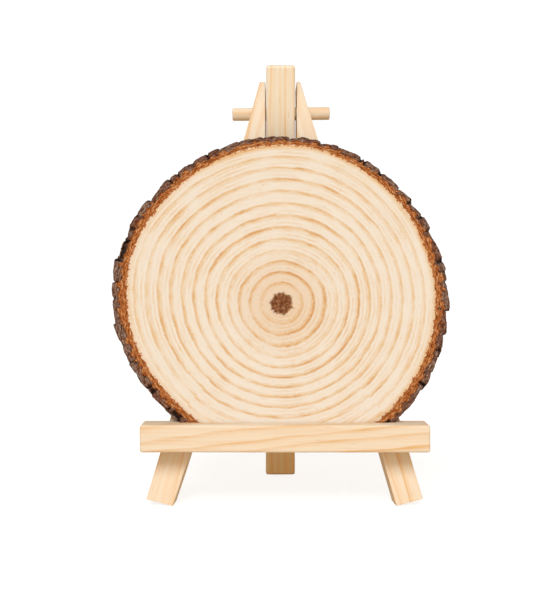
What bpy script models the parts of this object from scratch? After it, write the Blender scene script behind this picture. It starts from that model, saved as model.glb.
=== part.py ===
"""Round slice of a log with its bark on, standing on a small folding pine easel.

Metres, +Z up.  The easel stands on the plane Z = 0 and its viewer side faces -Y.
The origin is the bottom centre of the whole object's box.

Most pieces are drawn in the leaning frame of the front legs: u runs to the right,
v runs up the legs' front faces and w stands out of those faces towards the viewer.
"""

import math

import bmesh
import bpy
from mathutils import Matrix, Vector

# whole object
CENTRE_X = -0.00324
CENTRE_Y = -0.0278
GAP = 0.0003
LEAN = math.radians(11.5)

# slice of the log
SLICE_THICKNESS = 0.0050
SLICE_RADIUS = 0.0523
SLICE_U = 0.0038
SLICE_V = 0.0641
SLICE_FLAT = 0.0438
FLAT_CROWN = 0.25
FLAT_BLEND = 0.0016
FLAT_SPREAD = 0.75
SLICE_POINTS = 144
BARK_LUMP = 0.00025
BARK_BULGE = 0.00030
RIM_DROP = 0.00070

# sawn pine strips of the easel
STRIP_WIDTH = 0.0086
STRIP_DEPTH = 0.0088
STRIP_ROUND = 0.00045
LEG_TOP_V = 0.1388
LEFT_FOOT_U = -0.03842
LEFT_SPLAY = math.radians(14.3)
RIGHT_FOOT_U = 0.04743
RIGHT_SPLAY = math.radians(15.2)

# rear leg and its hinge
REAR_U = 0.00352
REAR_WIDTH = 0.0096
REAR_CLEARANCE = 0.0004
REAR_HEAD = 0.0160
REAR_ANGLE = math.radians(12.4)
REAR_ROUND = 0.0008
HINGE_V = 0.1291
DOWEL_RADIUS = 0.00215
DOWEL_LENGTH = 0.0322
DOWEL_CHAMFER = 0.0004
ROUND_SIDES = 24

# ledge
LEDGE_LEFT = -0.0396
LEDGE_RIGHT = 0.04875
LEDGE_BOTTOM = 0.0176
LEDGE_TOP = 0.02605
LIP_DEPTH = 0.0060
LEDGE_ROUND = 0.0008

# wire brads
BRAD_RADIUS = 0.0005
BRAD_REACH = 0.0055
BRAD_HEAD_RADIUS = 0.0010
BRAD_HEAD_DEPTH = 0.0005
BRAD_SIDES = 12


def clear_scene():
    for old in list(bpy.data.objects):
        bpy.data.objects.remove(old, do_unlink=True)


def make_material(name, colour, roughness, metallic=0.0):
    material = bpy.data.materials.new(name)
    material.use_nodes = True
    shader = material.node_tree.nodes["Principled BSDF"]
    shader.inputs["Base Color"].default_value = (*colour, 1.0)
    shader.inputs["Roughness"].default_value = roughness
    shader.inputs["Metallic"].default_value = metallic
    return material


def make_empty(name, location, rotation_x):
    empty = bpy.data.objects.new(name, None)
    bpy.context.scene.collection.objects.link(empty)
    empty.location = location
    empty.rotation_euler = (rotation_x, 0.0, 0.0)
    return empty


def make_object(name, shape, material=None, parent=None, location=(0.0, 0.0, 0.0)):
    bmesh.ops.recalc_face_normals(shape, faces=shape.faces)
    mesh = bpy.data.meshes.new(name)
    shape.to_mesh(mesh)
    shape.free()
    piece = bpy.data.objects.new(name, mesh)
    bpy.context.scene.collection.objects.link(piece)
    piece.parent = parent
    piece.location = location
    if material:
        mesh.materials.append(material)
    return piece


def hide_cutter(piece):
    piece.hide_render = True
    piece.display_type = "WIRE"
    return piece


def cut_with(piece, cutter):
    cut = piece.modifiers.new("cut", "BOOLEAN")
    cut.operation = "DIFFERENCE"
    cut.solver = "EXACT"
    cut.object = cutter


def round_edges(piece, width, segments=2):
    bevel = piece.modifiers.new("rounded edges", "BEVEL")
    bevel.width = width
    bevel.segments = segments
    bevel.limit_method = "ANGLE"
    bevel.angle_limit = math.radians(30.0)


def prism(outline, low, high):
    """Solid between two parallel copies of an outline drawn in the first two axes."""
    shape = bmesh.new()
    floor = shape.faces.new([shape.verts.new((a, b, low)) for a, b in outline])
    grown = bmesh.ops.extrude_face_region(shape, geom=[floor])
    raised = [item for item in grown["geom"] if isinstance(item, bmesh.types.BMVert)]
    bmesh.ops.translate(shape, verts=raised, vec=(0.0, 0.0, high - low))
    return shape


def turned_bar(profile, sides):
    """Solid of revolution about the third axis from (radius, height) pairs."""
    shape = bmesh.new()
    rings = []
    for radius, height in profile:
        ring = []
        for step in range(sides):
            angle = 2.0 * math.pi * step / sides
            ring.append(shape.verts.new((radius * math.cos(angle), radius * math.sin(angle), height)))
        rings.append(ring)
    for lower, upper in zip(rings, rings[1:]):
        for step in range(sides):
            after = (step + 1) % sides
            shape.faces.new((lower[step], lower[after], upper[after], upper[step]))
    shape.faces.new(rings[0][::-1])
    shape.faces.new(rings[-1])
    return shape


# slice of the log ---------------------------------------------------------------

# slow swells of the trunk: turns round the rim, height, direction of the first crest
TRUNK_SWELLS = (
    (1, 0.00165, math.radians(95.0)),
    (2, 0.00075, math.radians(-29.0)),
    (3, 0.00040, math.radians(55.0)),
    (4, 0.00034, math.radians(-2.0)),
)
# quick ripple of the bark's plates
BARK_RIPPLES = ((19, 0.4), (27, 1.9), (41, 3.1))


def trunk_radius(angle):
    radius = SLICE_RADIUS
    for turns, height, crest in TRUNK_SWELLS:
        radius += height * math.cos(turns * (angle - crest))
    return radius


def bark_ripple(angle):
    return sum(math.sin(turns * angle + start) for turns, start in BARK_RIPPLES) / len(BARK_RIPPLES)


def flat_radius(angle):
    """Distance from the pith to the gently crowned flat that the slice stands on."""
    down = -math.sin(angle)
    if down < FLAT_SPREAD:
        return 1.0
    across = SLICE_FLAT * math.cos(angle) / down
    return (SLICE_FLAT - across * across / FLAT_CROWN) / down


def rim_radius(angle, lump=0.0):
    """Smooth smaller of the trunk's outline and the flat."""
    natural = trunk_radius(angle) + lump * bark_ripple(angle)
    flat = flat_radius(angle)
    blend = max(FLAT_BLEND - abs(natural - flat), 0.0) / FLAT_BLEND
    return min(natural, flat) - blend * blend * FLAT_BLEND / 4.0


def rim_points(offset, lump=0.0):
    points = []
    for step in range(SLICE_POINTS):
        angle = 2.0 * math.pi * step / SLICE_POINTS
        radius = rim_radius(angle, lump) + offset
        points.append((radius * math.cos(angle), radius * math.sin(angle)))
    return points


def make_slice(frame, material):
    """Disc with two flat sawn faces and a slightly bulging bark rim."""
    half = SLICE_THICKNESS / 2.0
    levels = (
        (-BARK_BULGE - 0.0003, -half),
        (-BARK_BULGE, -half + RIM_DROP),
        (0.0, 0.0),
        (-BARK_BULGE, half - RIM_DROP),
        (-BARK_BULGE - 0.0003, half),
    )
    shape = bmesh.new()
    rings = []
    for inset, height in levels:
        outline = rim_points(inset, BARK_LUMP)
        rings.append([shape.verts.new((a, b, height)) for a, b in outline])
    for lower, upper in zip(rings, rings[1:]):
        for step in range(SLICE_POINTS):
            after = (step + 1) % SLICE_POINTS
            shape.faces.new((lower[step], lower[after], upper[after], upper[step]))
    shape.faces.new(rings[0][::-1])
    shape.faces.new(rings[-1])
    place = (SLICE_U, SLICE_V, GAP + half)
    return make_object("wood_slice", shape, material, frame, place)


# front legs ---------------------------------------------------------------------


def leg_line(foot_u, splay, side, v):
    """u of a leg's outer edge at height v; side is +1 on the left and -1 on the right."""
    return foot_u + side * (v - STRIP_WIDTH * math.sin(splay)) * math.tan(splay)


def leg_centre(foot_u, splay, side, v):
    return leg_line(foot_u, splay, side, v) + side * STRIP_WIDTH / math.cos(splay) / 2.0


def leg_outline(foot_u, splay, side):
    """Strip cut square at the foot, level at the top and plumb beside the rear leg."""
    plumb_u = REAR_U - side * (REAR_WIDTH / 2.0 + REAR_CLEARANCE)
    inner_foot_u = foot_u + side * STRIP_WIDTH * math.cos(splay)
    plumb_v = side * (plumb_u - inner_foot_u) / math.tan(splay)
    return [
        (foot_u, STRIP_WIDTH * math.sin(splay)),
        (inner_foot_u, 0.0),
        (plumb_u, plumb_v),
        (plumb_u, LEG_TOP_V),
        (leg_line(foot_u, splay, side, LEG_TOP_V), LEG_TOP_V),
    ]


def make_leg(name, frame, material, foot_u, splay, side, cutters):
    shape = prism(leg_outline(foot_u, splay, side), -STRIP_DEPTH, 0.0)
    # the foot is level from front to back
    slide = STRIP_DEPTH * math.tan(LEAN) / math.cos(splay)
    along = Vector((side * math.sin(splay), math.cos(splay), 0.0)) * slide
    foot = [v for v in shape.verts if v.co.z < -STRIP_DEPTH / 2.0 and v.co.y < 0.01]
    bmesh.ops.translate(shape, verts=foot, vec=along)
    leg = make_object(name, shape, material, frame)
    round_edges(leg, STRIP_ROUND)
    for cutter in cutters:
        cut_with(leg, cutter)
    return leg


# hinge --------------------------------------------------------------------------


def hinge_point():
    """Hinge axis in world coordinates, at the middle of the rear leg."""
    w = -STRIP_DEPTH / 2.0
    y = HINGE_V * math.sin(LEAN) - w * math.cos(LEAN)
    z = HINGE_V * math.cos(LEAN) + w * math.sin(LEAN)
    return Vector((CENTRE_X + REAR_U, CENTRE_Y + y, z))


def across_bar(name, radius, length, chamfer, material):
    """Round bar lying along X with its middle on the hinge axis."""
    half = length / 2.0
    if chamfer:
        profile = [(radius - chamfer, -half), (radius, chamfer - half)]
        profile += [(radius, half - chamfer), (radius - chamfer, half)]
    else:
        profile = [(radius, -half), (radius, half)]
    shape = turned_bar(profile, ROUND_SIDES)
    bmesh.ops.rotate(shape, verts=shape.verts, matrix=Matrix.Rotation(math.pi / 2.0, 3, "Y"))
    bar = make_object(name, shape, material, None, hinge_point())
    bar.data.shade_smooth()
    bar.data.set_sharp_from_angle(angle=math.radians(35.0))
    return bar


def make_rear_leg(material, bore):
    """Stick that swings on the dowel, its foot cut level for the open stance."""
    pivot = hinge_point()
    half_width = REAR_WIDTH / 2.0
    half_depth = STRIP_DEPTH / 2.0
    shape = bmesh.new()
    bmesh.ops.create_cube(shape, size=1.0)
    for vert in shape.verts:
        x = half_width * (1.0 if vert.co.x > 0.0 else -1.0)
        y = half_depth * (1.0 if vert.co.y > 0.0 else -1.0)
        foot = -(pivot.z + y * math.sin(REAR_ANGLE)) / math.cos(REAR_ANGLE)
        z = REAR_HEAD if vert.co.z > 0.0 else foot
        vert.co = (x, y, z)
    leg = make_object("rear_leg", shape, material, None, pivot)
    leg.rotation_euler = (REAR_ANGLE, 0.0, 0.0)
    round_edges(leg, REAR_ROUND)
    cut_with(leg, bore)
    return leg


# ledge --------------------------------------------------------------------------


def plane_y(w, z):
    """World y, before centring, of the leaning plane at depth w and height z."""
    return z * math.tan(LEAN) - w / math.cos(LEAN)


def make_ledge(material, cutters):
    """Bar with a plumb front, a level top and a back planed to the legs' lean."""
    front = plane_y(SLICE_THICKNESS + 2.0 * GAP, LEDGE_TOP) - LIP_DEPTH
    outline = [
        (front, LEDGE_BOTTOM),
        (plane_y(GAP, LEDGE_BOTTOM), LEDGE_BOTTOM),
        (plane_y(GAP, LEDGE_TOP), LEDGE_TOP),
        (front, LEDGE_TOP),
    ]
    shape = prism(outline, LEDGE_LEFT, LEDGE_RIGHT)
    # the outline's first two axes become Y and Z, and the extrusion runs along X
    turn = Matrix(((0.0, 0.0, 1.0), (1.0, 0.0, 0.0), (0.0, 1.0, 0.0)))
    bmesh.ops.transform(shape, matrix=turn.to_4x4(), verts=shape.verts)
    ledge = make_object("ledge", shape, material, None, (CENTRE_X, CENTRE_Y, 0.0))
    round_edges(ledge, LEDGE_ROUND, 3)
    for cutter in cutters:
        cut_with(ledge, cutter)
    return ledge


def make_seat_cutter(frame):
    """Space of the slice with clearance, which scoops its seat out of the ledge."""
    shape = prism(rim_points(GAP + BARK_LUMP), -0.004, SLICE_THICKNESS + GAP)
    place = (SLICE_U, SLICE_V, GAP)
    return hide_cutter(make_object("seat_cutter", shape, None, frame, place))


# brads --------------------------------------------------------------------------


def brad_places(foot_u, splay, side):
    """One brad high and towards the outside of the leg, one low and towards the inside."""
    high = (leg_centre(foot_u, splay, side, 0.0243) - side * 0.0020, 0.0243)
    low = (leg_centre(foot_u, splay, side, 0.0212) + side * 0.0012, 0.0212)
    return [high, low]


def make_brad(name, frame, material, place):
    """Wire nail driven through the leg into the ledge, its head on the leg's back."""
    back = -STRIP_DEPTH - GAP
    profile = [
        (BRAD_HEAD_RADIUS, back - BRAD_HEAD_DEPTH),
        (BRAD_HEAD_RADIUS, back),
        (BRAD_RADIUS, back),
        (BRAD_RADIUS, BRAD_REACH - 0.0008),
        (BRAD_RADIUS * 0.3, BRAD_REACH),
    ]
    brad = make_object(name, turned_bar(profile, BRAD_SIDES), material, frame, (*place, 0.0))
    brad.data.shade_smooth()
    brad.data.set_sharp_from_angle(angle=math.radians(35.0))
    return brad


def make_brad_hole(name, frame, place):
    radius = BRAD_RADIUS + GAP
    profile = [(radius, -STRIP_DEPTH - 0.002), (radius, BRAD_REACH + GAP)]
    hole = make_object(name, turned_bar(profile, BRAD_SIDES), None, frame, (*place, 0.0))
    return hide_cutter(hole)


# whole object -------------------------------------------------------------------


def build():
    clear_scene()
    pine = make_material("sawn pine", (0.86, 0.70, 0.47), 0.62)
    dowel_wood = make_material("turned birch dowel", (0.88, 0.74, 0.52), 0.55)
    log = make_material("slice with bark", (0.84, 0.70, 0.52), 0.75)
    steel = make_material("bright steel wire", (0.62, 0.61, 0.58), 0.35, 1.0)

    frame = make_empty("front_frame", (CENTRE_X, CENTRE_Y, 0.0), math.pi / 2.0 - LEAN)
    make_slice(frame, log)

    bore_radius = DOWEL_RADIUS + GAP
    bore = hide_cutter(across_bar("bore_cutter", bore_radius, 0.06, 0.0, None))
    across_bar("hinge_dowel", DOWEL_RADIUS, DOWEL_LENGTH, DOWEL_CHAMFER, dowel_wood)

    sides = (
        ("left_leg", LEFT_FOOT_U, LEFT_SPLAY, 1.0),
        ("right_leg", RIGHT_FOOT_U, RIGHT_SPLAY, -1.0),
    )
    holes = []
    number = 0
    for name, foot_u, splay, side in sides:
        leg_holes = []
        for place in brad_places(foot_u, splay, side):
            number += 1
            make_brad(f"brad_{number}", frame, steel, place)
            leg_holes.append(make_brad_hole(f"brad_hole_{number}", frame, place))
        make_leg(name, frame, pine, foot_u, splay, side, [bore] + leg_holes)
        holes += leg_holes

    make_ledge(pine, [make_seat_cutter(frame)] + holes)
    make_rear_leg(pine, bore)


build()
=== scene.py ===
"""Slice of a log with its bark on, standing on a small folding pine easel."""

import math

import bmesh
import bpy
from mathutils import Matrix, Vector, noise


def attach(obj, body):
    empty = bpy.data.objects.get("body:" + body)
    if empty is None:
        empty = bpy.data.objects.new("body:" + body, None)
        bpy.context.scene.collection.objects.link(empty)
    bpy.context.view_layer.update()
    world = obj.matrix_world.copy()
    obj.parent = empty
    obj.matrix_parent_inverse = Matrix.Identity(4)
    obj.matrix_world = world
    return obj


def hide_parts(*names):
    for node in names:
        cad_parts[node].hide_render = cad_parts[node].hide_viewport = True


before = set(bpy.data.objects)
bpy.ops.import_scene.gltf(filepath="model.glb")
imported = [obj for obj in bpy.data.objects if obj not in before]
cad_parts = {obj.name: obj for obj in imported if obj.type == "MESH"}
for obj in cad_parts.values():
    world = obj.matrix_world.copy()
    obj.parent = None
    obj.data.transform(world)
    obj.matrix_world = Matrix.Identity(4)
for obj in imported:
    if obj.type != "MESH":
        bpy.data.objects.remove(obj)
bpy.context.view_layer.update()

# ---------------------------------------------------------------------------
# Log slice.  One disc sawn across a young conifer and sanded on both faces,
# with the bark left on.  It stands in the ledge's seat and leans on the legs.
# ---------------------------------------------------------------------------

MM = 0.001
LEAN = math.radians(11.5)
MIDDLE = Vector((-3.24, -27.8, 0.0)) * MM
# leaning frame of the front legs: x across, y up the legs, z out towards the viewer
LEANING = Matrix.Translation(MIDDLE) @ Matrix.Rotation(math.pi / 2 - LEAN, 4, "X")

SLICE_PLACE = Vector((3.8, 64.1, 2.8)) * MM
SLICE_HALF = 2.5
SLICE_COLUMNS = 1320
WOOD_RINGS = 34
BARK_RINGS = 15
RIM_RINGS = 20
HEART = Vector((-0.2, -1.3))
YEAR_GAP = 3.5


def smooth(low, high, x):
    t = min(max((x - low) / (high - low), 0.0), 1.0)
    return t * t * (3.0 - 2.0 * t)


def trunk_radius(angle):
    """Distance from the middle to the round trunk's outline, in millimetres."""
    radius = 52.3
    for turns, height, crest in ((1, 1.65, 95), (2, 0.75, -29), (3, 0.40, 55), (4, 0.34, -2)):
        radius += height * math.cos(turns * (angle - math.radians(crest)))
    return radius


def slice_outline(angle):
    """The trunk's outline with the flat it stands on."""
    radius = trunk_radius(angle)
    down = -math.sin(angle)
    if down < 0.75:
        return radius
    across = 43.8 * math.cos(angle) / down
    flat = (43.8 - across * across / 250.0) / down
    blend = max(1.6 - abs(radius - flat), 0.0) / 1.6
    return min(radius, flat) - blend * blend * 0.4


def bark_thickness(angle):
    ripple = noise.noise(Vector((math.cos(angle), math.sin(angle), 3.0)) * 2.4)
    return 2.75 + 1.35 * math.cos(angle) ** 2 - 0.25 * math.cos(angle) + 0.5 * ripple


def cambium(angle):
    """Wavy line where the bark meets the wood."""
    around = Vector((math.cos(angle), math.sin(angle), 0.0)) * 52.0
    ragged = noise.noise(around / 2.6) * 0.35 + noise.noise(around / 0.9) * 0.3
    return min(trunk_radius(angle) - bark_thickness(angle) + ragged, slice_outline(angle) - 1.1 + 0.5 * ragged)


def bark_plate(angle, height):
    """Lift outwards, crevice strength and tint of the bark plate at a place on the rim."""
    radius = slice_outline(angle)
    place = Vector((radius * math.cos(angle), radius * math.sin(angle), height * 0.6))
    moved = (place + noise.noise_vector(place / 4.5) * 1.5) / 7.2
    near, centres = noise.voronoi(moved)
    centre = centres[0]
    lift = noise.cell(centre * 7.3)
    tint = 0.5 + 0.5 * noise.cell(centre * 3.1 + Vector((5.0, 1.0, 2.0)))
    # most plates lift at the same end, like shingles
    tilt = 0.55 + 0.75 * noise.cell(centre * 5.7 + Vector((1.0, 9.0, 4.0)))
    tangent = Vector((-math.sin(angle), math.cos(angle), 0.0))
    along = (moved - centre).dot(tangent)
    deep = 0.25 + 0.75 * smooth(-0.3, 0.3, noise.noise(place / 7.0 + Vector((0.0, 0.0, 8.0))))
    crevice = (1.0 - smooth(0.015, 0.11, near[1] - near[0])) * deep
    crumbs = noise.noise(place / 0.7) * 0.15 + noise.noise(place / 1.9) * 0.2
    offset = 0.15 + 0.22 * lift - 1.15 * tilt * along + crumbs - 0.7 * crevice
    return offset - max(offset - 0.4, 0.0) * 0.6, crevice, tint


def years_at(x, y):
    """Age of the wood at a point of the face: whole numbers fall on the latewood lines."""
    reach = math.hypot(x, y)
    fade = 1.0 - smooth(0.0, 40.0, reach)
    qx, qy = x - HEART.x * fade, y - HEART.y * fade
    radius = math.hypot(qx, qy)
    angle = math.atan2(qy, qx)
    # the outer rings follow the trunk's own outline
    outline = slice_outline(angle) if math.sin(angle) > -0.75 else 50.6
    radius *= 1.0 + (52.0 / outline - 1.0) * smooth(15.0, 50.0, radius)
    turn = Vector((math.cos(angle), math.sin(angle), 0.0))
    slow = noise.noise(turn * 1.1 + Vector((0.0, 0.0, radius / 30.0))) * 0.9
    scallop = noise.noise(Vector((qx / 5.0, qy / 5.0, 7.0))) * 0.18
    scallop += noise.noise(Vector((qx / 1.6, qy / 1.6, 2.0))) * 0.16
    return max(radius + slow * smooth(4.0, 20.0, radius) + scallop, 0.0) / YEAR_GAP


def face_ring(side, share):
    """Ring of the sawn wood face at a share of the way from heart to bark."""
    ring = []
    for column in range(SLICE_COLUMNS):
        angle = 2.0 * math.pi * column / SLICE_COLUMNS
        radius = cambium(angle) * share
        x, y = radius * math.cos(angle), radius * math.sin(angle)
        height = SLICE_HALF - 0.03 - 0.02 * noise.noise(Vector((x / 9.0, y / 9.0, side)))
        heart = 0.35 * (1.0 - smooth(0.3, 1.6, math.hypot(x - HEART.x, y - HEART.y)))
        ring.append((x, y, side * (height - heart), years_at(x, y), (share - 1.0) * 11.0, 0.0, 0.5))
    return ring


def bark_ring(side, share):
    """Ring of the bark's sawn edge, crumbly and open where a fissure runs in."""
    ring = []
    for column in range(SLICE_COLUMNS):
        angle = 2.0 * math.pi * column / SLICE_COLUMNS
        offset, fissure, tint = bark_plate(angle, side * SLICE_HALF)
        inner = cambium(angle)
        outer = slice_outline(angle) + offset
        radius = inner + (outer - inner) * share
        depth = (radius - inner) / max(bark_thickness(angle), 0.5)
        x, y = radius * math.cos(angle), radius * math.sin(angle)
        place = Vector((x, y, side * 5.0))
        crumb = 0.5 + noise.noise(place / 0.55) * 0.5 + noise.noise(place / 1.3) * 0.5
        layer = 0.5 + 0.5 * noise.noise(Vector((angle * 26.0, radius / 0.45, side)))
        sunk = 0.05 + smooth(0.0, 0.1, share) * (0.14 * crumb + 0.12 * layer)
        opened = fissure * smooth(0.38, 0.62, depth)
        sunk += 1.0 * opened + 0.22 * smooth(0.5, 0.6, depth) * crumb
        sunk += 0.25 * smooth(0.85, 1.0, share)
        ring.append((x, y, side * (SLICE_HALF - sunk), 0.0, depth, opened, tint))
    return ring


def rim_ring(height):
    """Ring round the outside of the bark at one height through the thickness."""
    ring = []
    for column in range(SLICE_COLUMNS):
        angle = 2.0 * math.pi * column / SLICE_COLUMNS
        offset, fissure, tint = bark_plate(angle, height)
        radius = slice_outline(angle) + offset
        ring.append((radius * math.cos(angle), radius * math.sin(angle), height, 0.0, 1.0, fissure, tint))
    return ring


def build_slice():
    rings = []
    kinds = []
    for step in range(WOOD_RINGS + 1):
        rings.append(face_ring(1.0, (step + 0.15) / (WOOD_RINGS + 0.15)))
        kinds.append(0)
    for step in range(1, BARK_RINGS + 1):
        rings.append(bark_ring(1.0, step / BARK_RINGS))
        kinds.append(1)
    for step in range(1, RIM_RINGS):
        rings.append(rim_ring((SLICE_HALF - 0.38) * math.cos(math.pi * step / RIM_RINGS)))
        kinds.append(1)
    for step in range(BARK_RINGS, 0, -1):
        rings.append(bark_ring(-1.0, step / BARK_RINGS))
        kinds.append(1)
    for step in range(WOOD_RINGS, -1, -1):
        rings.append(face_ring(-1.0, (step + 0.15) / (WOOD_RINGS + 0.15)))
        kinds.append(1 if step == WOOD_RINGS else 0)
    points = [Vector(p[:3]) * MM for ring in rings for p in ring]
    faces = []
    material_of = []
    for number in range(len(rings) - 1):
        low = number * SLICE_COLUMNS
        high = low + SLICE_COLUMNS
        for column in range(SLICE_COLUMNS):
            after = (column + 1) % SLICE_COLUMNS
            faces.append((low + column, high + column, high + after, low + after))
            material_of.append(kinds[number + 1])
    last = (len(rings) - 1) * SLICE_COLUMNS
    faces.append(tuple(range(SLICE_COLUMNS)))
    faces.append(tuple(range(last + SLICE_COLUMNS - 1, last - 1, -1)))
    material_of += [0, 0]
    mesh = bpy.data.meshes.new("log_slice")
    mesh.from_pydata(points, [], faces)
    mesh.polygons.foreach_set("material_index", material_of)
    for name, place in (("years", 3), ("bark_depth", 4), ("fissure", 5), ("plate_tint", 6)):
        layer = mesh.attributes.new(name, "FLOAT", "POINT")
        layer.data.foreach_set("value", [p[place] for ring in rings for p in ring])
    mesh.shade_smooth()
    piece = bpy.data.objects.new("log_slice", mesh)
    bpy.context.scene.collection.objects.link(piece)
    piece.matrix_world = LEANING @ Matrix.Translation(SLICE_PLACE)
    return piece


def paint(code, kept=0.84):
    """Linear colour of an sRGB hex value, as it looks in the studio's light; the surface keeps that share."""
    parts = [int(code[i:i + 2], 16) / 255.0 for i in (1, 3, 5)]
    linear = [c / 12.92 if c <= 0.04045 else ((c + 0.055) / 1.055) ** 2.4 for c in parts]
    return (*(c * kept for c in linear), 1.0)


def add(tree, kind, links=None, stops=None, **settings):
    """Adds one node with its settings, its links or values, and its ramp's stops."""
    made = tree.nodes.new("ShaderNode" + kind)
    for name, value in settings.items():
        setattr(made, name, value)
    for socket, value in (links or {}).items():
        if isinstance(value, bpy.types.NodeSocket):
            tree.links.new(value, made.inputs[socket])
        else:
            made.inputs[socket].default_value = value
    if stops:
        ramp = made.color_ramp
        while len(ramp.elements) < len(stops):
            ramp.elements.new(1.0)
        for element, (place, colour) in zip(ramp.elements, stops):
            element.position = place
            element.color = paint(colour) if isinstance(colour, str) else (colour, colour, colour, 1.0)
    return made


def new_finish(name):
    material = bpy.data.materials.new(name)
    material.use_nodes = True
    tree = material.node_tree
    return material, tree, tree.nodes["Principled BSDF"]


def millimetres(tree):
    """Object position in millimetres."""
    place = add(tree, "TexCoord").outputs["Object"]
    return add(tree, "VectorMath", {0: place, "Scale": 1000.0}, operation="SCALE").outputs[0]


def sanded_end_grain():
    """Pale conifer end grain, fine sanded: tan latewood rings, a brown heart, a dry matt look."""
    material, tree, shader = new_finish("sanded end grain")
    place = millimetres(tree)
    flat = add(tree, "VectorMath", {0: place, 1: (1.0, 1.0, 0.0)}, operation="MULTIPLY").outputs[0]
    offset = add(tree, "VectorMath", {0: flat, 1: (HEART.x, HEART.y, 0.0)}, operation="SUBTRACT").outputs[0]
    reach = add(tree, "VectorMath", {0: offset}, operation="LENGTH").outputs["Value"]
    turn = add(tree, "VectorMath", {0: offset}, operation="NORMALIZE").outputs[0]
    years = add(tree, "Attribute", attribute_name="years").outputs["Fac"]
    # fine lines that run round with the rings, about 0.4 mm apart
    round_way = add(tree, "VectorMath", {0: turn, "Scale": 7.0}, operation="SCALE").outputs[0]
    finer = add(tree, "Math", {0: years, 1: 5.5}, operation="MULTIPLY").outputs[0]
    across = add(tree, "CombineXYZ", {2: finer}).outputs[0]
    unrolled = add(tree, "VectorMath", {0: round_way, 1: across}, operation="ADD").outputs[0]
    lines = add(tree, "TexNoise", {"Vector": unrolled, "Scale": 1.0, "Detail": 3.0, "Roughness": 0.6}).outputs["Fac"]
    # wood cells, about 0.05 mm across: drawn at 0.3 mm so that they show
    cells = add(tree, "TexNoise", {"Vector": place, "Scale": 3.2, "Detail": 4.0, "Roughness": 0.7}).outputs["Fac"]
    fray = add(tree, "MapRange", {"Value": cells, 1: 0.3, 2: 0.7, 3: -0.14, 4: 0.14}).outputs[0]
    frayed = add(tree, "Math", {0: years, 1: fray}, operation="ADD").outputs[0]
    share = add(tree, "Math", {0: frayed}, operation="FRACT").outputs[0]
    whole = add(tree, "Math", {0: frayed}, operation="FLOOR").outputs[0]
    # one year: cream earlywood darkens to a tan band, then stops
    band = add(tree, "ValToRGB", {"Fac": share}, stops=(
        (0.00, 0.18), (0.045, 0.0), (0.52, 0.0), (0.66, 0.34), (0.82, 0.8), (0.94, 1.0), (1.0, 0.2),
    )).outputs["Color"]
    mark = add(tree, "TexWhiteNoise", {"W": whole}, noise_dimensions="1D").outputs["Value"]
    ring_force = add(tree, "MapRange", {"Value": mark, 3: 0.62, 4: 1.0}).outputs[0]
    # the bands come and go along their length
    patch = add(tree, "TexNoise", {"Vector": place, "Scale": 0.13, "Detail": 3.0}).outputs["Fac"]
    patch_force = add(tree, "MapRange", {"Value": patch, 1: 0.3, 2: 0.68, 3: 0.45, 4: 1.15}).outputs[0]
    force = add(tree, "Math", {0: ring_force, 1: patch_force}, operation="MULTIPLY").outputs[0]
    band = add(tree, "Math", {0: band, 1: force}, operation="MULTIPLY").outputs[0]
    # false rings: thinner and fainter, in patches
    part_year = add(tree, "Math", {0: frayed, 1: 3.0}, operation="MULTIPLY").outputs[0]
    part_share = add(tree, "Math", {0: part_year}, operation="FRACT").outputs[0]
    faint = add(tree, "ValToRGB", {"Fac": part_share}, stops=((0.0, 0.2), (0.1, 0.0), (0.5, 0.0), (0.85, 1.0), (1.0, 0.2))).outputs["Color"]
    veil = add(tree, "TexNoise", {"Vector": place, "Scale": 0.06, "Detail": 2.0}).outputs["Fac"]
    veil = add(tree, "MapRange", {"Value": veil, 1: 0.44, 2: 0.6, 3: 0.08, 4: 0.55}).outputs[0]
    faint = add(tree, "Math", {0: faint, 1: veil}, operation="MULTIPLY").outputs[0]
    grain = add(tree, "Math", {0: band, 1: faint}, operation="MAXIMUM").outputs[0]
    line_tone = add(tree, "MapRange", {"Value": lines, 1: 0.32, 2: 0.68, 3: -0.18, 4: 0.2}).outputs[0]
    cell_tone = add(tree, "MapRange", {"Value": cells, 1: 0.3, 2: 0.7, 3: -0.13, 4: 0.13}).outputs[0]
    tone = add(tree, "Math", {0: line_tone, 1: cell_tone}, operation="ADD").outputs[0]
    grain = add(tree, "Math", {0: grain, 1: tone}, operation="ADD", use_clamp=True).outputs[0]
    colour = add(tree, "ValToRGB", {"Fac": grain}, stops=(
        (0.0, "#F2E8DB"), (0.3, "#F0DEC6"), (0.65, "#EAC799"), (1.0, "#DCA368"),
    )).outputs["Color"]
    # young bark stains the last of the sapwood
    depth = add(tree, "Attribute", attribute_name="bark_depth").outputs["Fac"]
    stain = add(tree, "MapRange", {"Value": depth, 1: -0.45, 2: 0.0, 3: 0.0, 4: 0.55}).outputs[0]
    colour = add(tree, "Mix", {0: stain, 6: colour, 7: paint("#E9C08A")}, data_type="RGBA").outputs[2]
    # crumbs of rusty bark cling to its edge
    crumbs = add(tree, "TexNoise", {"Vector": place, "Scale": 1.5, "Detail": 3.0, "Roughness": 0.6}).outputs["Fac"]
    reach_in = add(tree, "MapRange", {"Value": crumbs, 1: 0.4, 2: 0.66, 3: 0.06, 4: -0.16}).outputs[0]
    cling = add(tree, "Math", {0: depth, 1: reach_in}, operation="GREATER_THAN").outputs[0]
    colour = add(tree, "Mix", {0: cling, 6: colour, 7: paint("#B8672F")}, data_type="RGBA").outputs[2]
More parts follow.
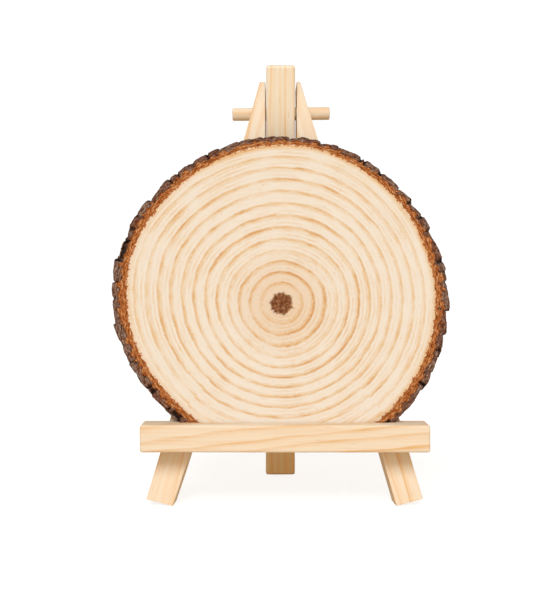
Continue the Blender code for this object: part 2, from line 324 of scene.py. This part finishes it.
    # brown-pink tint round the heart, then the heart itself, toothed and mottled
    blush = add(tree, "MapRange", {"Value": reach, 1: 6.0, 2: 18.0, 3: 0.9, 4: 0.0}).outputs[0]
    colour = add(tree, "Mix", {0: blush, 6: colour, 7: paint("#F8EADA", 1.0)}, data_type="RGBA", blend_type="MULTIPLY").outputs[2]
    spokes = add(tree, "TexNoise", {"Vector": turn, "Scale": 3.4, "Detail": 3.0, "Roughness": 0.75}).outputs["Fac"]
    edge = add(tree, "MapRange", {"Value": spokes, 1: 0.3, 2: 0.7, 3: -0.7, 4: 0.7}).outputs[0]
    ragged = add(tree, "Math", {0: reach, 1: edge}, operation="ADD").outputs[0]
    ragged = add(tree, "Math", {0: fray, 1: 4.0, 2: ragged}, operation="MULTIPLY_ADD").outputs[0]
    heart = add(tree, "MapRange", {"Value": ragged, 1: 3.3, 2: 3.75, 3: 1.0, 4: 0.0}).outputs[0]
    mottle = add(tree, "TexNoise", {"Vector": place, "Scale": 1.2, "Detail": 5.0, "Roughness": 0.75}).outputs["Fac"]
    brown = add(tree, "ValToRGB", {"Fac": mottle}, stops=((0.36, "#451E0C"), (0.46, "#74401F"), (0.54, "#8C5834"), (0.64, "#B8845C"))).outputs["Color"]
    colour = add(tree, "Mix", {0: heart, 6: colour, 7: brown}, data_type="RGBA").outputs[2]
    # resin canals: sparse dark specks
    dots = add(tree, "TexVoronoi", {"Vector": place, "Scale": 0.5}).outputs["Distance"]
    dot = add(tree, "MapRange", {"Value": dots, 1: 0.06, 2: 0.1, 3: 0.5, 4: 0.0}).outputs[0]
    colour = add(tree, "Mix", {0: dot, 6: colour, 7: paint("#B98A5C")}, data_type="RGBA").outputs[2]
    relief = add(tree, "Math", {0: cells, 1: grain}, operation="ADD").outputs[0]
    bump = add(tree, "Bump", {"Height": relief, "Strength": 0.35, "Distance": 0.00008}).outputs[0]
    tree.links.new(colour, shader.inputs["Base Color"])
    tree.links.new(bump, shader.inputs["Normal"])
    shader.inputs["Roughness"].default_value = 0.78
    shader.inputs["Specular IOR Level"].default_value = 0.25
    return material


def rough_bark():
    """Conifer bark: rusty fibrous inner bark, grey-brown corky plates, crevices darkened to near black, partly their
    own colour and partly painted shade.
    """
    material, tree, shader = new_finish("rough bark")
    place = millimetres(tree)
    depth = add(tree, "Attribute", attribute_name="bark_depth").outputs["Fac"]
    crevice = add(tree, "Attribute", attribute_name="fissure").outputs["Fac"]
    tint = add(tree, "Attribute", attribute_name="plate_tint").outputs["Fac"]
    # unrolled round the log, from the bottom: layers 0.5 mm thick that run on for 2 mm
    parts = add(tree, "SeparateXYZ", {0: place})
    turn = add(tree, "Math", {0: parts.outputs["X"], 1: parts.outputs["Y"]}, operation="ARCTAN2").outputs[0]
    arc = add(tree, "Math", {0: turn, 1: 52.0}, operation="MULTIPLY").outputs[0]
    flat = add(tree, "VectorMath", {0: place, 1: (1.0, 1.0, 0.0)}, operation="MULTIPLY").outputs[0]
    reach = add(tree, "VectorMath", {0: flat}, operation="LENGTH").outputs["Value"]
    unrolled = add(tree, "CombineXYZ", {0: arc, 1: reach, 2: parts.outputs["Z"]}).outputs[0]
    layered = add(tree, "VectorMath", {0: unrolled, 1: (0.55, 1.9, 0.5)}, operation="MULTIPLY").outputs[0]
    layers = add(tree, "TexNoise", {"Vector": layered, "Scale": 1.0, "Detail": 4.0, "Roughness": 0.7}).outputs["Fac"]
    crumbs = add(tree, "TexNoise", {"Vector": place, "Scale": 2.2, "Detail": 5.0, "Roughness": 0.75}).outputs["Fac"]
    mixed = add(tree, "Mix", {0: 0.42, 2: layers, 3: crumbs}, data_type="FLOAT").outputs[0]
    inner = add(tree, "ValToRGB", {"Fac": mixed}, stops=(
        (0.38, "#4E210C"), (0.445, "#95501F"), (0.50, "#B5642D"), (0.55, "#CB8B52"), (0.61, "#E0B488"),
    )).outputs["Color"]
    outer = add(tree, "ValToRGB", {"Fac": mixed}, stops=(
        (0.38, "#24120B"), (0.44, "#623C2B"), (0.49, "#82604F"), (0.545, "#9F8272"), (0.60, "#C2A898"),
    )).outputs["Color"]
    # each plate weathers to its own grey or red brown
    weather = add(tree, "ValToRGB", {"Fac": tint}, stops=((0.0, "#E8B898"), (0.4, "#FFFFFF"), (0.7, "#FFF4EA"), (1.0, "#D59C7C"))).outputs["Color"]
    outer = add(tree, "Mix", {0: 0.7, 6: outer, 7: weather}, data_type="RGBA", blend_type="MULTIPLY").outputs[2]
    wander = add(tree, "TexNoise", {"Vector": place, "Scale": 0.5, "Detail": 4.0}).outputs["Fac"]
    shift = add(tree, "MapRange", {"Value": wander, 1: 0.25, 2: 0.75, 3: -0.46, 4: 0.34}).outputs[0]
    level = add(tree, "Math", {0: depth, 1: shift}, operation="ADD").outputs[0]
    cork = add(tree, "MapRange", {"Value": level, 1: 0.44, 2: 0.56}).outputs[0]
    colour = add(tree, "Mix", {0: cork, 6: inner, 7: outer}, data_type="RGBA").outputs[2]
    seam = add(tree, "ValToRGB", {"Fac": level}, stops=((0.42, 0.0), (0.51, 0.8), (0.58, 0.0))).outputs["Color"]
    colour = add(tree, "Mix", {0: seam, 6: colour, 7: paint("#40180A")}, data_type="RGBA").outputs[2]
    # painted shade: the crevices darken to near black, partly the bark's own dark colour and partly the shade inside
    # the gaps
    gap = add(tree, "MapRange", {"Value": crevice, 1: 0.35, 2: 0.9, 3: 0.0, 4: 0.88}).outputs[0]
    colour = add(tree, "Mix", {0: gap, 6: colour, 7: paint("#1E0C06")}, data_type="RGBA").outputs[2]
    bump = add(tree, "Bump", {"Height": mixed, "Strength": 0.9, "Distance": 0.0006}).outputs[0]
    tree.links.new(colour, shader.inputs["Base Color"])
    tree.links.new(bump, shader.inputs["Normal"])
    shader.inputs["Roughness"].default_value = 0.9
    shader.inputs["Specular IOR Level"].default_value = 0.2
    return material


log_slice = build_slice()
log_slice.data.materials.append(sanded_end_grain())
log_slice.data.materials.append(rough_bark())
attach(log_slice, "front_frame")
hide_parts("wood_slice")

# ---------------------------------------------------------------------------
# Ledge.  One planed pine bar with eased edges, its back cut to the legs' lean
# and a seat scooped out of its top for the slice.  Two brads hold each end.
# ---------------------------------------------------------------------------


def corner_ring(corners, radius, side_steps=9, arc_steps=4):
    """Closed ring round four corners, each rounded to the radius."""
    ring = []
    for number, corner in enumerate(corners):
        before = (corners[number - 1] - corner).normalized()
        after_corner = corners[(number + 1) % 4]
        after = (after_corner - corner).normalized()
        start = corner + before * radius
        end = corner + after * radius
        for step in range(arc_steps + 1):
            t = step / arc_steps
            ring.append(start * (1 - t) ** 2 + corner * 2 * t * (1 - t) + end * t * t)
        next_start = after_corner - after * radius
        for step in range(1, side_steps):
            ring.append(end.lerp(next_start, step / side_steps))
    return ring


def shrink(corners, distance):
    moved = []
    for number, corner in enumerate(corners):
        before = (corners[number - 1] - corner).normalized()
        after = (corners[(number + 1) % 4] - corner).normalized()
        moved.append(corner + (before + after) * distance)
    return moved


def planed_strip(name, sections, place, eased, end_eased):
    """Strip of sawn wood lofted through four-cornered sections, with eased edges and ends.

    The sections are in world millimetres; place is the strip's own frame, z along the grain.
    """
    back = place.inverted()
    rings = []
    first, last = sections[0], sections[-1]
    head_in = sum((b - a for a, b in zip(first, sections[1])), Vector()).normalized()
    tail_in = sum((b - a for a, b in zip(last, sections[-2])), Vector()).normalized()
    for section, inward in ((first, head_in), (last, tail_in)):
        narrow = min((b - a).length for a, b in zip(section, section[1:]))
        cap = [corner_ring(shrink(section, narrow * part), 0.05) for part in (0.46, 0.34, 0.2)]
        for step in range(4):
            turn = math.pi / 2 * step / 3
            inset = end_eased * (1.0 - math.sin(turn))
            drop = inward * end_eased * (1.0 - math.cos(turn))
            cap.append(corner_ring([c + drop for c in shrink(section, inset)], max(eased - inset, 0.05)))
        if section is first:
            rings += cap
            rings += [corner_ring(middle, eased) for middle in sections[1:-1]]
        else:
            rings += cap[::-1]
    shape = bmesh.new()
    rows = [[shape.verts.new(back @ (p * MM)) for p in ring] for ring in rings]
    count = len(rows[0])
    for low, high in zip(rows, rows[1:]):
        for step in range(count):
            after = (step + 1) % count
            shape.faces.new((low[step], low[after], high[after], high[step]))
    shape.faces.new(rows[0][::-1])
    shape.faces.new(rows[-1])
    bmesh.ops.recalc_face_normals(shape, faces=shape.faces)
    shape.normal_update()
    seed = Vector((len(name) * 3.7, 0.0, 0.0))
    moves = []
    for vert in shape.verts:
        x, y, z = vert.co / MM
        planed = noise.noise(Vector((x / 3.0, y / 3.0, z / 16.0)) + seed) * 0.06
        fibre = noise.noise(Vector((x / 0.8, y / 0.8, z / 9.0)) + seed) * 0.03
        moves.append(vert.normal * (planed + fibre - 0.05) * MM)
    for vert, move in zip(shape.verts, moves):
        vert.co += move
    mesh = bpy.data.meshes.new(name)
    shape.to_mesh(mesh)
    shape.free()
    mesh.shade_smooth()
    mesh.set_sharp_from_angle(angle=math.radians(50.0))
    piece = bpy.data.objects.new(name, mesh)
    bpy.context.scene.collection.objects.link(piece)
    piece.matrix_world = place
    return piece


def round_cutter(centre, direction, radius, length):
    """Drill: a cylinder about a centre, all in millimetres."""
    shape = bmesh.new()
    bmesh.ops.create_cone(shape, cap_ends=True, segments=40, radius1=radius * MM, radius2=radius * MM, depth=length * MM)
    turn = Vector((0.0, 0.0, 1.0)).rotation_difference(direction).to_matrix().to_4x4()
    bmesh.ops.transform(shape, matrix=Matrix.Translation(centre * MM) @ turn, verts=shape.verts)
    mesh = bpy.data.meshes.new("drill")
    shape.to_mesh(mesh)
    shape.free()
    return mesh


def cut_away(piece, meshes):
    """Takes the given world-space solids out of a piece for good."""
    for mesh in meshes:
        cutter = bpy.data.objects.new("cutter", mesh)
        bpy.context.scene.collection.objects.link(cutter)
        cut = piece.modifiers.new("cut", "BOOLEAN")
        cut.operation = "DIFFERENCE"
        cut.solver = "EXACT"
        cut.object = cutter
        bpy.context.view_layer.update()
        sight = bpy.context.evaluated_depsgraph_get()
        carved = bpy.data.meshes.new_from_object(piece.evaluated_get(sight))
        piece.modifiers.clear()
        piece.data = carved
        bpy.data.objects.remove(cutter)
    piece.data.set_sharp_from_angle(angle=math.radians(50.0))


PINE_TONES = ((0.0, "#F8E7CF"), (0.35, "#F6DAB8"), (0.7, "#EFC38A"), (1.0, "#E4A659"))
# painted light: paler pine tones for the rear leg, which sits back between the legs and gets less light, so that it
# looks as bright as the front legs
PAINTED_LIGHT_TONES = ((0.0, "#FFF3DE"), (0.35, "#FFE9CA"), (0.7, "#FFD8A8"), (1.0, "#FAC282"))


def planed_pine(name, heart_at, year_gap, slant, seed, contrast=1.0, tones=PINE_TONES, painted_shade_below=-900.0):
    """Planed pine: cream earlywood, orange latewood streaks along the strip, a faint silk sheen."""
    material, tree, shader = new_finish(name)
    place = millimetres(tree)
    moved = add(tree, "VectorMath", {0: place, 1: (seed, seed * 0.7, seed * 3.1)}, operation="ADD").outputs[0]
    stretched = add(tree, "VectorMath", {0: moved, 1: (0.16, 0.16, 0.016)}, operation="MULTIPLY").outputs[0]
    sway = add(tree, "TexNoise", {"Vector": stretched, "Scale": 1.0, "Detail": 2.0}).outputs["Fac"]
    # distance from the tree's heart, which lies outside the strip and leans along it
    parts = add(tree, "SeparateXYZ", {0: place})
    lean_x = add(tree, "Math", {0: parts.outputs["Z"], 1: slant[0], 2: -heart_at[0]}, operation="MULTIPLY_ADD").outputs[0]
    lean_y = add(tree, "Math", {0: parts.outputs["Z"], 1: slant[1], 2: -heart_at[1]}, operation="MULTIPLY_ADD").outputs[0]
    from_x = add(tree, "Math", {0: parts.outputs["X"], 1: lean_x}, operation="ADD").outputs[0]
    from_y = add(tree, "Math", {0: parts.outputs["Y"], 1: lean_y}, operation="ADD").outputs[0]
    spot = add(tree, "CombineXYZ", {0: from_x, 1: from_y, 2: 0.0}).outputs[0]
    reach = add(tree, "VectorMath", {0: spot}, operation="LENGTH").outputs["Value"]
    swayed = add(tree, "Math", {0: sway, 1: 5.0, 2: reach}, operation="MULTIPLY_ADD").outputs[0]
    years = add(tree, "Math", {0: swayed, 1: year_gap}, operation="DIVIDE").outputs[0]
    share = add(tree, "Math", {0: years}, operation="FRACT").outputs[0]
    whole = add(tree, "Math", {0: years}, operation="FLOOR").outputs[0]
    streak = add(tree, "ValToRGB", {"Fac": share}, stops=(
        (0.0, 0.2), (0.06, 0.0), (0.45, 0.02), (0.66, 0.45), (0.84, 1.0), (0.95, 0.9), (1.0, 0.25),
    )).outputs["Color"]
    mark = add(tree, "TexWhiteNoise", {"W": whole}, noise_dimensions="1D").outputs["Value"]
    force = add(tree, "MapRange", {"Value": mark, 3: 0.15 * contrast, 4: 0.68 * contrast}).outputs[0]
    streak = add(tree, "Math", {0: streak, 1: force}, operation="MULTIPLY").outputs[0]
    # fibres, about 0.04 mm wide: drawn at 0.4 mm so that they show
    thin = add(tree, "VectorMath", {0: moved, 1: (2.4, 2.4, 0.06)}, operation="MULTIPLY").outputs[0]
    fibres = add(tree, "TexNoise", {"Vector": thin, "Scale": 1.0, "Detail": 4.0, "Roughness": 0.65}).outputs["Fac"]
    fibre_tone = add(tree, "MapRange", {"Value": fibres, 1: 0.3, 2: 0.7, 3: -0.2, 4: 0.2}).outputs[0]
    broad = add(tree, "VectorMath", {0: moved, 1: (0.5, 0.5, 0.02)}, operation="MULTIPLY").outputs[0]
    cloud = add(tree, "TexNoise", {"Vector": broad, "Scale": 1.0, "Detail": 2.0}).outputs["Fac"]
    cloud_tone = add(tree, "MapRange", {"Value": cloud, 1: 0.3, 2: 0.7, 3: -0.08, 4: 0.26}).outputs[0]
    tone = add(tree, "Math", {0: fibre_tone, 1: cloud_tone}, operation="ADD").outputs[0]
    grain = add(tree, "Math", {0: streak, 1: tone}, operation="ADD", use_clamp=True).outputs[0]
    colour = add(tree, "ValToRGB", {"Fac": grain}, stops=tones).outputs["Color"]
    # painted shade: the strip is tinted warmer over 75 mm towards one end, standing in for the warm shade round the
    # rear leg's foot
    painted_shade_tint = add(tree, "MapRange", {"Value": parts.outputs["Z"], 1: painted_shade_below, 2: painted_shade_below + 75.0, 3: 1.0, 4: 0.0}).outputs[0]
    colour = add(tree, "Mix", {0: painted_shade_tint, 6: colour, 7: paint("#FFF0D2", 1.15)}, data_type="RGBA", blend_type="MULTIPLY").outputs[2]
    # resin canals: short darker dashes along the grain
    dashes = add(tree, "VectorMath", {0: moved, 1: (1.3, 1.3, 0.11)}, operation="MULTIPLY").outputs[0]
    canals = add(tree, "TexVoronoi", {"Vector": dashes, "Scale": 0.7}).outputs["Distance"]
    canal = add(tree, "MapRange", {"Value": canals, 1: 0.06, 2: 0.12, 3: 0.35, 4: 0.0}).outputs[0]
    colour = add(tree, "Mix", {0: canal, 6: colour, 7: paint("#D59A58")}, data_type="RGBA").outputs[2]
    relief = add(tree, "Math", {0: fibres, 1: streak}, operation="ADD").outputs[0]
    bump = add(tree, "Bump", {"Height": relief, "Strength": 0.3, "Distance": 0.00012}).outputs[0]
    rough = add(tree, "MapRange", {"Value": grain, 3: 0.66, 4: 0.5}).outputs[0]
    tree.links.new(colour, shader.inputs["Base Color"])
    tree.links.new(bump, shader.inputs["Normal"])
    tree.links.new(rough, shader.inputs["Roughness"])
    shader.inputs["Specular IOR Level"].default_value = 0.35
    return material


def lean_back(w, z):
    """World y, in millimetres, of the legs' leaning plane at depth w and height z."""
    return MIDDLE.y / MM + z * math.tan(LEAN) - w / math.cos(LEAN)


def seat_cutter():
    """Space of the slice with its clearance."""
    shape = bmesh.new()
    outline = []
    for step in range(240):
        angle = 2.0 * math.pi * step / 240
        radius = slice_outline(angle) + 0.5
        outline.append((radius * math.cos(angle), radius * math.sin(angle)))
    low = [shape.verts.new(Vector((a, b, -8.0)) * MM) for a, b in outline]
    high = [shape.verts.new(Vector((a, b, SLICE_HALF + 0.3)) * MM) for a, b in outline]
    for step in range(240):
        after = (step + 1) % 240
        shape.faces.new((low[step], low[after], high[after], high[step]))
    shape.faces.new(low[::-1])
    shape.faces.new(high)
    bmesh.ops.transform(shape, matrix=LEANING @ Matrix.Translation(SLICE_PLACE), verts=shape.verts)
    mesh = bpy.data.meshes.new("seat")
    shape.to_mesh(mesh)
    shape.free()
    return mesh


LEDGE_X = (-42.84, 45.51)
LEDGE_Z = (17.6, 26.05)
LIP = 6.0
ledge_front = lean_back(5.6, LEDGE_Z[1]) - LIP
ledge_sections = []
for step in range(88):
    x = LEDGE_X[0] + (LEDGE_X[1] - LEDGE_X[0]) * step / 87
    ledge_sections.append([
        Vector((x, ledge_front, LEDGE_Z[0])),
        Vector((x, lean_back(0.3, LEDGE_Z[0]), LEDGE_Z[0])),
        Vector((x, lean_back(0.3, LEDGE_Z[1]), LEDGE_Z[1])),
        Vector((x, ledge_front, LEDGE_Z[1])),
    ])
# the bar's own frame: z runs along the grain to the right, y up
ledge_place = Matrix.Translation(Vector((1.33, ledge_front + 6.0, 21.8)) * MM) @ Matrix(
    ((0, 0, 1, 0), (1, 0, 0, 0), (0, 1, 0, 0), (0, 0, 0, 1))
)
ledge = planed_strip("pine_ledge", ledge_sections, ledge_place, 0.9, 0.8)
cut_away(ledge, [seat_cutter()])
ledge.data.materials.clear()
ledge.data.materials.append(planed_pine("planed pine of the ledge", (-9.0, -26.0), 3.3, (0.01, -0.1), 3.0, 0.9))
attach(ledge, "front_frame")
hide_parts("ledge")

# ---------------------------------------------------------------------------
# Front legs.  Two planed pine strips, splayed, cut square at the foot and plumb
# where they hold the rear leg between their tops.  Drilled for the dowel.
# ---------------------------------------------------------------------------

STRIP_WIDTH = 8.6
STRIP_DEPTH = 8.8
LEG_TOP = 138.8
REAR_X = 3.52
REAR_WIDTH = 9.6
# the meeting faces of the legs and the rear leg are sawn a little off square
OUTER_BOW = 0.22
SAWN_OFF = math.tan(math.radians(1.7))
HINGE = Vector((0.28, 2.25, 125.631))
DOWEL_RADIUS = 2.15


def leg_sections(foot, splay, side, clearance, warp):
    """Sections from foot to top: each joins a point of the outer edge to one of the inner edge."""
    tangent = math.tan(splay)
    plumb = REAR_X - side * (REAR_WIDTH / 2 + clearance)
    outer = [Vector((foot, STRIP_WIDTH * math.sin(splay)))]
    outer.append(Vector((foot + side * (LEG_TOP - outer[0].y) * tangent, LEG_TOP)))
    inner_foot = foot + side * STRIP_WIDTH * math.cos(splay)
    bend = Vector((plumb, side * (plumb - inner_foot) / tangent))
    inner = [Vector((inner_foot, 0.0)), bend, Vector((plumb, LEG_TOP))]
    sections = []
    for step in range(141):
        share = step / 140
        out = outer[0].lerp(outer[1], share)
        out.x += side * OUTER_BOW * math.sin(2.2 * math.pi * smooth(0.35, 1.0, share))
        if share < 0.8:
            into = inner[0].lerp(inner[1], share / 0.8)
        else:
            into = inner[1].lerp(inner[2], (share - 0.8) / 0.2)
        bend_x = warp * math.sin(math.pi * min(share / 0.45, 1.0))
        out.x += bend_x
        into.x += bend_x * 1.9
        # the foot is level from front to back, the top is square
        lift = STRIP_DEPTH * math.tan(LEAN) * (1.0 - smooth(0.0, 0.06, share))
        rise = Vector((side * math.sin(splay), math.cos(splay))) * lift / math.cos(splay)
        corners = []
        sawn = Vector((side * STRIP_DEPTH * SAWN_OFF * smooth(0.78, 0.82, share), 0.0))
        for spot, depth in ((out, 0.0), (into, 0.0), (into + rise + sawn, -STRIP_DEPTH), (out + rise, -STRIP_DEPTH)):
            corners.append(LEANING @ (Vector((spot.x, spot.y, depth)) * MM) / MM)
        sections.append(corners)
    return sections


LEGS = (
    ("left_leg", -38.42, math.radians(14.3), 1.0, 0.29, 0.7, (-24.0, 14.0), 2.6, (0.0, 0.02), 11.0),
    ("right_leg", 47.43, math.radians(15.2), -1.0, 0.5, 0.0, (22.0, 18.0), 2.4, (0.015, 0.0), 27.0),
)
for name, foot, splay, side, clearance, warp, heart_at, gap, slant, seed in LEGS:
    foot_at = Vector((foot + side * STRIP_WIDTH / 2, 0.0, -STRIP_DEPTH / 2)) * MM
    upright = Matrix.Rotation(-side * splay, 4, "Z") @ Matrix.Rotation(-math.pi / 2, 4, "X")
    place = LEANING @ Matrix.Translation(foot_at) @ upright
    leg = planed_strip("pine_" + name, leg_sections(foot, splay, side, clearance, warp), place, 0.3, 0.1)
    cut_away(leg, [round_cutter(HINGE, Vector((1.0, 0.0, 0.0)), DOWEL_RADIUS + 0.06, 60.0)])
    leg.data.materials.clear()
    leg.data.materials.append(planed_pine("planed pine of the " + name.replace("_", " "), heart_at, gap, slant, seed, 0.8))
    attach(leg, "front_frame")
    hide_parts(name)

# ---------------------------------------------------------------------------
# Rear leg.  One planed pine strip that swings on the dowel, its corners eased
# more than the front legs' and its foot cut level for the open stance.
# ---------------------------------------------------------------------------

REAR_ANGLE = math.radians(12.4)
REAR_HEAD = 16.0
rear_place = Matrix.Translation(HINGE * MM) @ Matrix.Rotation(REAR_ANGLE, 4, "X")
rear_sections = []
for step in range(151):
    share = step / 150
    corners = []
    for x, y in ((-1, -1), (1, -1), (1, 1), (-1, 1)):
        y_mm = y * STRIP_DEPTH / 2
        foot_z = -(HINGE.z + y_mm * math.sin(REAR_ANGLE)) / math.cos(REAR_ANGLE)
        z = foot_z + (REAR_HEAD - foot_z) * share
        x_mm = x * REAR_WIDTH / 2 + (0.2 + 0.48 * x) * max(0.8 - share, 0.0) / 0.8
        corners.append(rear_place @ (Vector((x_mm, y_mm, z)) * MM) / MM)
    rear_sections.append(corners)
rear_leg = planed_strip("pine_rear_leg", rear_sections, rear_place, 0.8, 0.9)
cut_away(rear_leg, [round_cutter(HINGE, Vector((1.0, 0.0, 0.0)), DOWEL_RADIUS + 0.2, 60.0)])
rear_leg.data.materials.clear()
# painted shade: the rear leg's pine is tinted warm towards its foot, from -115 mm along the strip and fading over 75 mm
rear_leg.data.materials.append(planed_pine("planed pine of the rear leg", (26.0, 12.0), 2.0, (0.004, 0.0), 41.0, 0.8, PAINTED_LIGHT_TONES, -115.0))
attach(rear_leg, "back_stay")
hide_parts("rear_leg")

# ---------------------------------------------------------------------------
# Hinge dowel.  A turned wooden rod with chamfered ends, driven through the legs.
# ---------------------------------------------------------------------------

DOWEL_HALF = 16.25
# driven in very slightly out of level
dowel_place = Matrix.Translation((HINGE + Vector((0.17, 0.0, 0.0))) * MM) @ Matrix.Rotation(math.radians(89.35), 4, "Y")
dowel_shape = bmesh.new()
dowel_rows = []
profile = [(0.6, -DOWEL_HALF + 0.03), (1.3, -DOWEL_HALF), (1.75, -DOWEL_HALF), (1.98, -DOWEL_HALF + 0.1)]
profile += [(2.1, -DOWEL_HALF + 0.25), (DOWEL_RADIUS, -DOWEL_HALF + 0.5)]
for step in range(1, 60):
    profile.append((DOWEL_RADIUS, -DOWEL_HALF + 0.5 + (2 * DOWEL_HALF - 1.0) * step / 60))
profile += [(radius, -height) for radius, height in profile[5::-1]]
for radius, height in profile:
    row = []
    for step in range(48):
        angle = 2 * math.pi * step / 48
        turned = 0.03 * noise.noise(Vector((math.cos(angle), math.sin(angle), height / 2.0)) * 1.3) - 0.02
        row.append(dowel_shape.verts.new(Vector(((radius + turned) * math.cos(angle), (radius + turned) * math.sin(angle), height)) * MM))
    dowel_rows.append(row)
for low, high in zip(dowel_rows, dowel_rows[1:]):
    for step in range(48):
        after = (step + 1) % 48
        dowel_shape.faces.new((low[step], low[after], high[after], high[step]))
dowel_shape.faces.new(dowel_rows[0][::-1])
dowel_shape.faces.new(dowel_rows[-1])
dowel_mesh = bpy.data.meshes.new("turned_dowel")
dowel_shape.to_mesh(dowel_mesh)
dowel_shape.free()
dowel_mesh.shade_smooth()
dowel_mesh.set_sharp_from_angle(angle=math.radians(50.0))
dowel = bpy.data.objects.new("turned_dowel", dowel_mesh)
bpy.context.scene.collection.objects.link(dowel)
dowel.matrix_world = dowel_place
dowel.data.materials.append(planed_pine("turned dowel wood", (4.0, 2.0), 2.2, (0.0, 0.0), 63.0, 0.6))
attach(dowel, "front_frame")
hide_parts("hinge_dowel")

# ---------------------------------------------------------------------------
# Brads.  Four bright steel wire nails driven through the backs of the legs.
# ---------------------------------------------------------------------------


def drawn_steel():
    """Bright steel wire: a cool grey metal with fine drawing marks and a soft gloss."""
    material, tree, shader = new_finish("drawn steel wire")
    place = millimetres(tree)
    marks = add(tree, "TexNoise", {"Vector": place, "Scale": 4.0, "Detail": 3.0}).outputs["Fac"]
    colour = add(tree, "ValToRGB", {"Fac": marks}, stops=((0.3, "#A8A39B"), (0.7, "#CFCBC4"))).outputs["Color"]
    rough = add(tree, "MapRange", {"Value": marks, 3: 0.28, 4: 0.5}).outputs[0]
    tree.links.new(colour, shader.inputs["Base Color"])
    tree.links.new(rough, shader.inputs["Roughness"])
    shader.inputs["Metallic"].default_value = 1.0
    return material


steel = drawn_steel()
for name in ("brad_1", "brad_2", "brad_3", "brad_4"):
    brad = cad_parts[name]
    brad.data.materials.clear()
    brad.data.materials.append(steel)

# ---------------------------------------------------------------------------
# Studio.  A white floor under a bright, even tent of light, with one wide soft
# light from above and in front.
# ---------------------------------------------------------------------------

WHITE = (1.0, 1.0, 1.0, 1.0)


def stage_mesh(name, shape, colour, glow):
    """Matt stage surface with a glow of its own, as on a backlit table."""
    mesh = bpy.data.meshes.new(name)
    shape.to_mesh(mesh)
    shape.free()
    stage = bpy.data.objects.new(name, mesh)
    bpy.context.scene.collection.objects.link(stage)
    paper, paper_tree, paper_shader = new_finish(name.replace("_", " "))
    paper_shader.inputs["Base Color"].default_value = colour
    paper_shader.inputs["Roughness"].default_value = 0.95
    paper_shader.inputs["Specular IOR Level"].default_value = 0.0
    paper_shader.inputs["Emission Color"].default_value = WHITE
    paper_shader.inputs["Emission Strength"].default_value = glow
    mesh.materials.append(paper)
    return stage


def flat_sheet(height):
    shape = bmesh.new()
    bmesh.ops.create_grid(shape, x_segments=4, y_segments=4, size=20.0)
    bmesh.ops.translate(shape, verts=shape.verts, vec=(0.0, 0.0, height))
    return shape


# the floor that is seen: bright enough to stay white but for faint shadows
floor_top = stage_mesh("white_floor", flat_sheet(0.0), (0.32, 0.316, 0.313, 1.0), 0.82)
# the floor that throws light back on the object
floor_base = stage_mesh("floor_underlay", flat_sheet(-0.0002), (0.85, 0.74, 0.58, 1.0), 0.0)
backdrop_shape = bmesh.new()
bmesh.ops.create_uvsphere(backdrop_shape, u_segments=32, v_segments=16, radius=6.0)
backdrop = stage_mesh("white_backdrop", backdrop_shape, (0.0, 0.0, 0.0, 1.0), 1.05)
for stage in (floor_top, backdrop):
    stage.visible_diffuse = False
    stage.visible_glossy = False
    stage.visible_transmission = False
    stage.visible_shadow = False
floor_base.visible_camera = False


def soft_light(name, tilt, turn, softness, strength, colour):
    """Distant softbox: tilt from overhead and turn about the vertical, in degrees."""
    light = bpy.data.lights.new(name, "SUN")
    light.angle = math.radians(softness)
    light.energy = strength
    light.color = colour
    lamp = bpy.data.objects.new(name, light)
    bpy.context.scene.collection.objects.link(lamp)
    lamp.rotation_euler = (math.radians(tilt), 0.0, math.radians(turn))


soft_light("overhead softbox", 51.0, -8.0, 26.0, 2.13, (0.895, 0.945, 1.0))
soft_light("low reflector", 80.0, 12.0, 60.0, 0.56, (1.0, 0.83, 0.66))

world = bpy.data.worlds.new("studio")
bpy.context.scene.world = world
world.use_nodes = True
tent = world.node_tree.nodes["Background"]
tent.inputs["Color"].default_value = (1.0, 0.84, 0.66, 1.0)
tent.inputs["Strength"].default_value = 0.46

view = bpy.context.scene.view_settings
view.view_transform = "Standard"
view.look = "None"

camera_data = bpy.data.cameras.new("camera")
camera_data.sensor_fit = "VERTICAL"
camera_data.sensor_height = 36.0
camera_data.lens = 64.24
camera_data.clip_start = 0.01
camera = bpy.data.objects.new("camera", camera_data)
bpy.context.scene.collection.objects.link(camera)
camera.location = Vector((-3.24, -357.8, 70.2)) * MM
camera.rotation_euler = (math.radians(90.0 - 1.10), 0.0, 0.0)
bpy.context.scene.camera = camera
